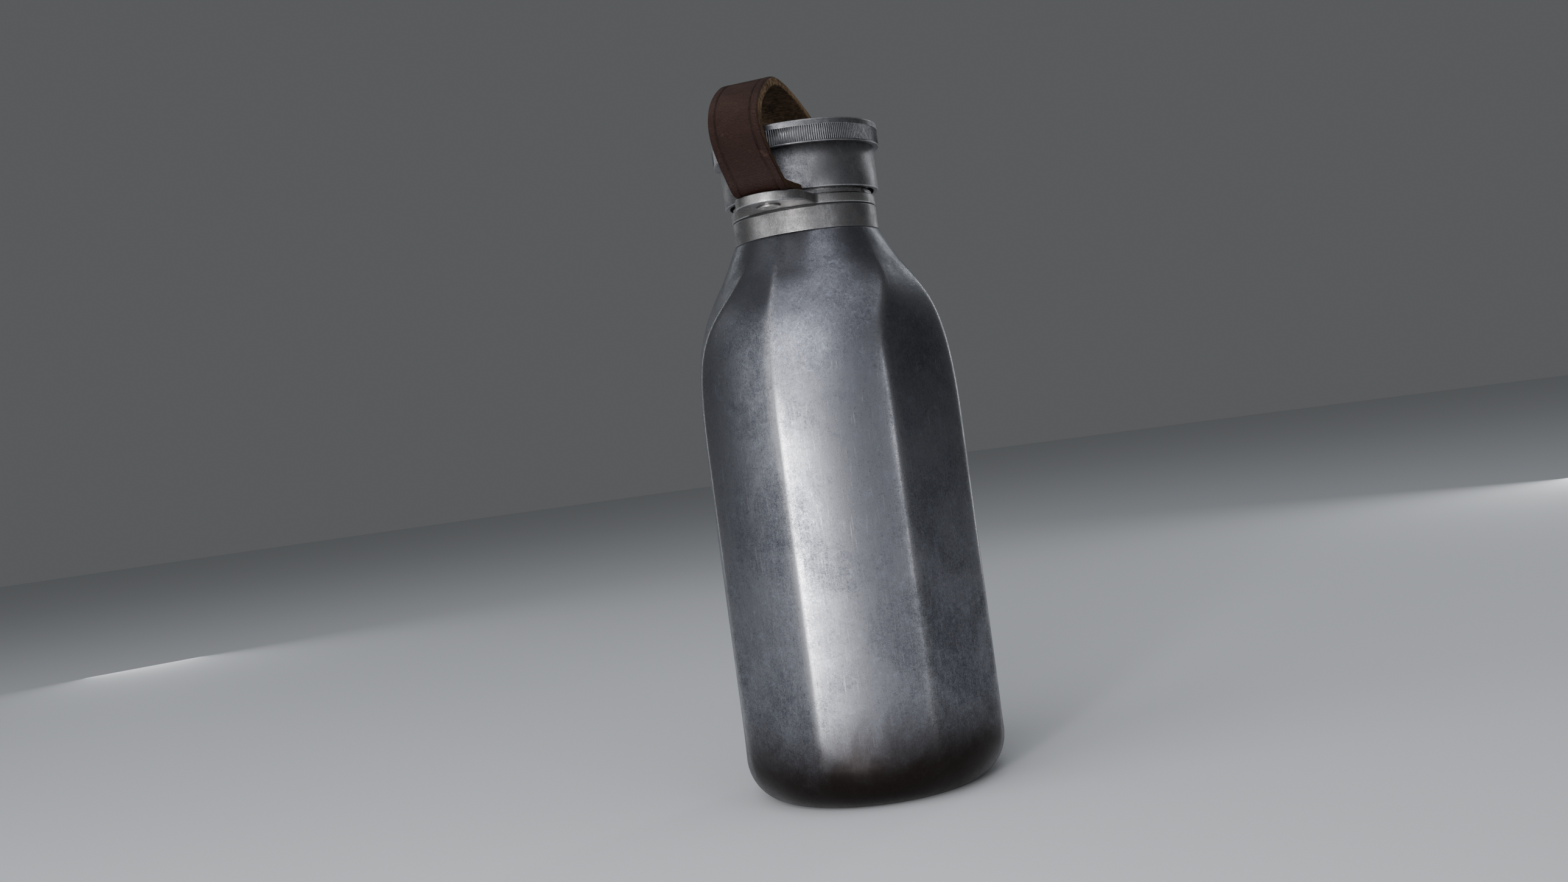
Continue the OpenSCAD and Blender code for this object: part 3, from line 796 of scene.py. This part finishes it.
fillet_x = EAR_R + FILLET_R
fillet_y = math.sqrt((NECK_R + FILLET_R) ** 2 - fillet_x ** 2)
meet = math.degrees(math.atan2(fillet_y, fillet_x))
quarter = arc((0, 0), NECK_R, 0, meet, 24) + arc((fillet_x, fillet_y), FILLET_R, 180 + meet, 180, 8)[1:]
quarter += [Vector((EAR_R, fillet_y + (EAR_CENTRE - fillet_y) * k / 4)) for k in range(1, 4)]
quarter += arc((0, EAR_CENTRE), EAR_R, 0, 90, 24)
half = quarter + [Vector((-p.x, p.y)) for p in quarter[-2::-1]]
collar_outline = half + [Vector((-p.x, -p.y)) for p in half[1:-1]]
print("collar outline:", len(collar_outline), "points")


# %% Collar plate
def moved_in(points, distance):
    """The closed outline moved inwards by a small distance."""
    result = []
    for i, p in enumerate(points):
        side = points[(i + 1) % len(points)] - points[i - 1]
        result.append(p + Vector((-side.y, side.x)).normalized() * distance)
    return result


def edge_profile(z_low, z_high, size, steps=4):
    """(moved in, height, wear) up one edge of a plate, with both corners rounded."""
    turns = [math.radians(90 * k / steps) for k in range(steps + 1)]
    corner = [(size * (1 - math.sin(a)), size * (1 - math.cos(a)), math.sin(2 * a)) for a in turns]
    low = [(size + SUPPORT, z_low, 0.0)] + [(i, z_low + up, w) for i, up, w in corner]
    return low + [(i, z_low + z_high - z, w) for i, z, w in low[::-1]]


collar_bore = SEAT_R + 0.05 * MM
collar_rings, collar_wear = [], []
for inwards, z, wear in edge_profile(COLLAR_LOW.z, COLLAR_HIGH.z, 0.4 * MM):
    collar_rings.append([(p.x, p.y, z) for p in moved_in(collar_outline, inwards)])
    collar_wear.append(wear)
for inwards, z, wear in edge_profile(COLLAR_LOW.z, COLLAR_HIGH.z, 0.2 * MM)[::-1]:
    collar_rings.append([(*(p.normalized() * (collar_bore + inwards)), z) for p in collar_outline])
    collar_wear.append(wear)
collar = loft("ear_collar", collar_rings, {"wear": collar_wear})
dress(collar, "collar", "collar_steel", collar_steel, "carry_collar")

# %% [markdown]
# ## Rivets
#
# Each ear holds its end of the strap with one rivet. Under the ear a rivet shows a broad dished head, and
# on the leather it ends in a domed cap whose rim sinks into the flesh side. They are small turned parts,
# made in a loop because the two sides are the same.

# %% Rivets
HEAD_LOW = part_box("front_rivet")[0].z
CAP_R, CAP_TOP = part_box("front_rivet_cap")[1].x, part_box("front_rivet_cap")[1].z
CAP_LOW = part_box("front_rivet_cap")[0].z - 0.3 * MM
SHANK_R = 1.5 * MM
DISH_R, DISH_DEPTH = 1.5 * MM, 0.22 * MM
RIVET_SEGMENTS = 64
for side_name, side_sign in (("front", -1), ("rear", 1)):
    middle = (0.0, side_sign * RIVET_Y)
    head = lathe(side_name + "_rivet_head", [
        (0, HEAD_LOW + DISH_DEPTH, 0), (DISH_R, HEAD_LOW + DISH_DEPTH, 0.3 * MM),
        (DISH_R + 0.6 * MM, HEAD_LOW, 0.25 * MM), (RIVET_HEAD_R, HEAD_LOW, 0.22 * MM),
        (RIVET_HEAD_R, COLLAR_LOW.z, 0.05 * MM), (SHANK_R, COLLAR_LOW.z, 0),
        (SHANK_R, CAP_LOW + 0.4 * MM, 0), (0, CAP_LOW + 0.4 * MM, 0)], RIVET_SEGMENTS, middle)
    dress(head, "collar", "rivet_steel", rivet_steel, side_name + "_rivet")
    cap = lathe(side_name + "_rivet_dome", [
        (0, CAP_LOW, 0), (CAP_R, CAP_LOW, 0.1 * MM), (CAP_R, CAP_LOW + 0.65 * MM, 0.3 * MM),
        (CAP_R - 1.7 * MM, CAP_TOP, 1.0 * MM), (0, CAP_TOP, 0)], RIVET_SEGMENTS, middle)
    dress(cap, "collar", "rivet_steel", rivet_steel, side_name + "_rivet_cap")

# %% [markdown]
# ## Cap
#
# The cap is a drawn cup with a wider ring pressed over its top and a disc let into that ring. All three are
# turned. The cup's lower edge is rounded and shows as a light band, because it looks down at the collar.

# %% Cap barrel and top disc
BARREL_LOW, BARREL_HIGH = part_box("cap_barrel")
GRIP_LOW, GRIP_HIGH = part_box("cap_grip_ring")
DISC_LOW, DISC_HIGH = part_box("cap_top_disc")
BARREL_R, GRIP_R, DISC_R = BARREL_HIGH.x, GRIP_HIGH.x, DISC_HIGH.x
LINER_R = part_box("cap_liner")[1].x
LINER_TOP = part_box("cap_liner")[1].z
barrel = lathe("cap_cup", [
    (0, LINER_TOP, 0), (LINER_R, LINER_TOP, 0), (LINER_R, BARREL_LOW.z, 0.25 * MM),
    (BARREL_R, BARREL_LOW.z, 0.35 * MM), (BARREL_R, BARREL_HIGH.z, 0), (0, BARREL_HIGH.z, 0)], 256)
dress(barrel, "cap", "cap_steel", cap_steel, "cap_barrel")
disc = lathe("cap_lid", [
    (0, DISC_LOW.z, 0), (DISC_R, DISC_LOW.z, 0), (DISC_R, DISC_HIGH.z, 0.25 * MM),
    (DISC_R - 2.2 * MM, DISC_HIGH.z, 0.3 * MM), (DISC_R - 2.7 * MM, DISC_HIGH.z - 0.25 * MM, 0.3 * MM),
    (0, DISC_HIGH.z - 0.25 * MM, 0)], 256)
dress(disc, "cap", "cap_steel", cap_steel, "cap_top_disc")

# %% [markdown]
# ## Knurled grip ring
#
# The ring has a plain lip above and a thin plain edge below, and between them a band of fine straight ribs.
# Modelling one rib and letting Geometry Nodes place it on a circle keeps the count, the size and the
# spacing as plain inputs. Each rib is a low eight-sided post, sunk halfway into the ring.

# %% Ring under the ribs
KNURL_LOW, KNURL_HIGH = GRIP_LOW.z + 0.55 * MM, GRIP_HIGH.z - 1.75 * MM
KNURL_DEPTH = 0.28 * MM
RIB_COUNT = 240
groove_r = GRIP_R - KNURL_DEPTH
grip = lathe("grip_ring", [
    (BARREL_R, GRIP_LOW.z, 0.1 * MM), (GRIP_R - 0.04 * MM, GRIP_LOW.z, 0.16 * MM),
    (GRIP_R - 0.04 * MM, KNURL_LOW - 0.16 * MM, 0.06 * MM), (groove_r, KNURL_LOW - 0.12 * MM, 0),
    (groove_r, KNURL_HIGH, 0), (GRIP_R, KNURL_HIGH, 0.1 * MM), (GRIP_R, GRIP_HIGH.z, 0.6 * MM),
    (DISC_R + 0.05 * MM, GRIP_HIGH.z, 0.35 * MM), (DISC_R + 0.05 * MM, BARREL_HIGH.z, 0),
    (BARREL_R, BARREL_HIGH.z, 0)], 360)
dress(grip, "cap", "grip_steel", grip_steel, "cap_grip_ring")

# %% Geometry Nodes that place the ribs
rib_tree, rib_in, rib_out = new_group(
    "ribs_on_a_circle", "GeometryNodeTree",
    [("Count", "NodeSocketInt", 240), ("Radius", "NodeSocketFloat", 0.02),
     ("Width", "NodeSocketFloat", 0.0004), ("Low", "NodeSocketFloat", 0.0), ("High", "NodeSocketFloat", 0.01),
     ("Material", "NodeSocketMaterial", None)],
    [("Geometry", "NodeSocketGeometry")])
rib_length = sum_of(rib_tree, "SUBTRACT", rib_in.outputs["High"], rib_in.outputs["Low"])
rib_span = sum_of(rib_tree, "ADD", rib_in.outputs["High"], rib_in.outputs["Low"])
rib_middle = sum_of(rib_tree, "MULTIPLY", rib_span, 0.5)
rib = add(rib_tree, "GeometryNodeMeshCylinder",
          {"Vertices": 8, "Radius": sum_of(rib_tree, "MULTIPLY", rib_in.outputs["Width"], 0.5),
           "Depth": rib_length})
ring_points = add(rib_tree, "GeometryNodeMeshCircle",
                  {"Vertices": rib_in.outputs["Count"], "Radius": rib_in.outputs["Radius"]})
lift = add(rib_tree, "ShaderNodeCombineXYZ", {2: rib_middle})
lifted = add(rib_tree, "GeometryNodeSetPosition",
             {"Geometry": ring_points.outputs[0], "Offset": lift.outputs[0]})
step = sum_of(rib_tree, "DIVIDE", 2 * math.pi, rib_in.outputs["Count"])
turn = sum_of(rib_tree, "MULTIPLY", add(rib_tree, "GeometryNodeInputIndex").outputs[0], step)
turned = add(rib_tree, "ShaderNodeCombineXYZ", {2: turn})
posts = add(rib_tree, "GeometryNodeInstanceOnPoints",
            {"Points": lifted.outputs[0], "Instance": rib.outputs["Mesh"], "Rotation": turned.outputs[0]})
real_posts = add(rib_tree, "GeometryNodeRealizeInstances", {"Geometry": posts.outputs[0]})
painted_posts = add(rib_tree, "GeometryNodeSetMaterial",
                    {"Geometry": real_posts.outputs[0], "Material": rib_in.outputs["Material"]})
rib_tree.links.new(painted_posts.outputs[0], rib_out.inputs["Geometry"])

# %% Ribs
RIB_WIDTH = 0.42 * MM
ribs = bpy.data.objects.new("grip_ribs", bpy.data.meshes.new("grip_ribs"))
bpy.context.scene.collection.objects.link(ribs)
run_nodes(ribs, rib_tree, Count=RIB_COUNT, Radius=GRIP_R - 0.5 * RIB_WIDTH, Width=RIB_WIDTH,
          Low=KNURL_LOW - 0.1 * MM, High=KNURL_HIGH + 0.1 * MM, Material=grip_steel)
dress(ribs, "cap", "grip_steel", None)

# %% [markdown]
# ## Leather strap
#
# The loop is one flat strap. Its ends lie on the ears with the flesh side up, so the strap bends out past
# the ear tips, rises, and leans to one side over the cap. Its side view is a line of an arc and two curves.
# That line is sampled evenly, and a section with rounded grain corners, two pressed creases and a rough cut
# edge follows it. Every point also keeps its unrolled place, for the leather's pattern.

# %% Side view of the strap
STRAP_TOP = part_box("strap_loop")[1].z
EAR_TOP = COLLAR_HIGH.z
FOOT_LOW, FOOT_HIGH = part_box("strap_rear_foot")
FOOT_END = FOOT_LOW.y
LEATHER_T = FOOT_HIGH.z - FOOT_LOW.z
BEND_Y = FOOT_HIGH.y
BEND_R = 4 * MM
OUT_Y = BEND_Y + BEND_R
SPACING = 0.4 * MM
turned_up = [(BEND_Y + BEND_R * math.sin(a), EAR_TOP + BEND_R * (1 - math.cos(a)))
             for a in [math.radians(90 * k / 24) for k in range(25)]]
rise = [(OUT_Y, EAR_TOP + BEND_R), (OUT_Y, EAR_TOP + BEND_R + 10.7 * MM), (30 * MM, STRAP_TOP - 12.3 * MM),
        (20 * MM, STRAP_TOP - 6.7 * MM)]
arch = [rise[-1], (13 * MM, STRAP_TOP - 2.8 * MM), (6 * MM, STRAP_TOP), (0.0, STRAP_TOP)]
foot_run = [(FOOT_END + (BEND_Y - FOOT_END) * k / 40, EAR_TOP) for k in range(40)]
rear_half = [Vector(p) for p in foot_run + turned_up + curve(rise, 120, first=1) + curve(arch, 80, first=1)]
strap_line = rear_half + [Vector((-p.x, p.y)) for p in rear_half[-2::-1]]


def evenly(points, spacing):
    """The line with points at even distances, each with its direction and its distance from the middle."""
    lengths = [0.0]
    for a, b in zip(points, points[1:]):
        lengths.append(lengths[-1] + (b - a).length)
    count = round(lengths[-1] / spacing)
    samples, j = [], 0
    for i in range(count + 1):
        wanted = lengths[-1] * i / count
        while j < len(points) - 2 and lengths[j + 1] < wanted:
            j += 1
        part = (wanted - lengths[j]) / (lengths[j + 1] - lengths[j])
        samples.append(points[j].lerp(points[j + 1], part))
    directions = [(samples[min(i + 2, count)] - samples[max(i - 2, 0)]).normalized()
                  for i in range(count + 1)]
    return [(p, d, lengths[-1] * (i / count - 0.5)) for i, (p, d) in enumerate(zip(samples, directions))]


strap_path = evenly(strap_line, SPACING)
print("strap length, mm:", round(2 * strap_path[-1][2] / MM, 1))

# %% Section of the strap
STRAP_W = 14.4 * MM
GRAIN_CORNER, FLESH_CORNER = 0.55 * MM, 0.25 * MM
CREASE_X, CREASE_DEPTH, CREASE_WIDTH = 5.0 * MM, 0.3 * MM, 0.24 * MM
GRAIN, CUT_EDGE, FLESH = 0, 1, 2


def crease_at(x):
    """1 in the middle of a crease and 0 away from both."""
    return math.exp(-((abs(x) - CREASE_X) / CREASE_WIDTH) ** 2)


def strap_section():
    """(across, depth, side) points round the strap, from the grain face round the cut edge to the flesh."""
    half_w = STRAP_W / 2
    even = [half_w * (1 - GRAIN_CORNER / half_w) * k / 14 for k in range(15)]
    dense = [CREASE_X + 0.16 * MM * k for k in range(-4, 5)]
    across = sorted(set(round(x, 7) for x in even + dense))
    across = [-x for x in across[:0:-1]] + across
    grain = [(x, 0.0, GRAIN) for x in across]
    turns = [math.radians(15 * k) for k in range(1, 6)]
    corner = [(half_w - GRAIN_CORNER * (1 - math.sin(a)), GRAIN_CORNER * (1 - math.cos(a)), GRAIN)
              for a in turns]
    depths = [GRAIN_CORNER + (LEATHER_T - GRAIN_CORNER - FLESH_CORNER) * k / 7 for k in range(8)]
    cut = [(half_w, depth, CUT_EDGE) for depth in depths]
    back_w = STRAP_W - 2 * FLESH_CORNER
    back = [(back_w / 2 - back_w * k / 28, LEATHER_T, FLESH) for k in range(29)]
    far = [(-x, depth, side) for x, depth, side in cut[::-1] + corner[::-1]]
    return grain + corner + cut + back + far


section_points = strap_section()
print("strap section:", len(section_points), "points")

# %% Strap mesh
LEAN = 0.275
LEAN_EASE = 4 * MM
BOW = 1.1 * MM
FOOT_EXTRA_W = 0.5 * MM


def lean_at(z):
    """Sideways shift at a height: none on the ear, then growing, and bowed out at half height."""
    up = max(0.0, z - EAR_TOP)
    bow = BOW * math.sin(math.pi * min(1.0, up / (STRAP_TOP - EAR_TOP))) ** 2
    return -LEAN * (up * up / (2 * LEAN_EASE) if up < LEAN_EASE else up - LEAN_EASE / 2) - bow


def strap_point(place, direction, along, across, depth, side):
    """Where a point of the section lies, with the roughness of its side."""
    inwards = Vector((-direction.y, direction.x))
    rough = noise.noise(Vector((along / MM * 1.1, across / MM * 1.1, depth / MM * 2.4)))
    fuzz = noise.noise(Vector((along / MM * 3.1, across / MM * 3.1, depth / MM * 5.0)))
    widen = 1 + 0.012 * noise.noise(Vector((along / MM * 0.05, 3.3, 0.0)))
    widen += FOOT_EXTRA_W / STRAP_W * ramp(abs(along), 44 * MM, 62 * MM)
    x, down = across * widen, depth
    if side == GRAIN:
        worn = 0.75 + 0.5 * noise.noise(Vector((along / MM * 0.12, math.copysign(7.0, across), 1.0)))
        lips = math.exp(-((abs(across) - CREASE_X - 2.4 * CREASE_WIDTH) / CREASE_WIDTH) ** 2)
        down += CREASE_DEPTH * worn * crease_at(across) - 0.05 * MM * lips + 0.03 * MM * rough
    if side == CUT_EDGE:
        x += math.copysign((0.13 * rough + 0.07 * fuzz) * MM, across)
    if side == FLESH:
        down += (0.10 * rough + 0.07 * fuzz) * MM
    spot = place + inwards * down
    return (x + lean_at(spot.y), spot.x, spot.y)


strap_rings = [[strap_point(p, d, along, *point) for point in section_points] for p, d, along in strap_path]
strap = loft("leather_strap", strap_rings, closed=False)
unrolled = strap.data.attributes.new("unrolled", "FLOAT_VECTOR", "POINT")
unrolled.data.foreach_set("vector", [c for _, _, along in strap_path
                                     for across, depth, _ in section_points for c in (along, across, depth)])
crease = strap.data.attributes.new("crease", "FLOAT", "POINT")
crease.data.foreach_set("value", [crease_at(across) if side == GRAIN else 0.0 for _ in strap_path
                                  for across, _, side in section_points])
for material in (grain_leather, edge_leather, flesh_leather):
    strap.data.materials.append(material)
columns = len(section_points)
sides = [max(section_points[k][2], section_points[(k + 1) % columns][2], key=(GRAIN, FLESH, CUT_EDGE).index)
         for k in range(columns)]
for i, face in enumerate(strap.data.polygons):
    face.material_index = sides[i % columns] if i < columns * (len(strap_path) - 1) else CUT_EDGE
print("strap faces:", len(strap.data.polygons))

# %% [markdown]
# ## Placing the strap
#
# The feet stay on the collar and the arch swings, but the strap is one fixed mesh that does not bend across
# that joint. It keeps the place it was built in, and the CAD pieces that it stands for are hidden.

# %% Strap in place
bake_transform(strap)
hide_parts("strap_front_foot", "strap_rear_foot", "strap_front_leg", "strap_rear_leg", "strap_loop")

# %% [markdown]
# ## Inner parts
#
# The spout, the clip, the washer and the cap's inner parts already have the right shape in CAD, so they
# keep their own meshes and only get their finishes. The clip is seen through the gap under the cap, and the
# rest when the cap is off.

# %% Finishes of the CAD parts
inner_finishes = {"spout": clean_steel, "collar_clip": neck_steel, "slip_washer": washer_plastic,
                  "seal_disc": clean_steel, "seal_gasket": gasket_rubber, "cap_liner": liner_plastic}
for node_name, finish in inner_finishes.items():
    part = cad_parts[node_name]
    part.data.materials.clear()
    part.data.materials.append(finish)
print("finished CAD parts:", sorted(inner_finishes))

# %% [markdown]
#

# %% Finish
print("finished")
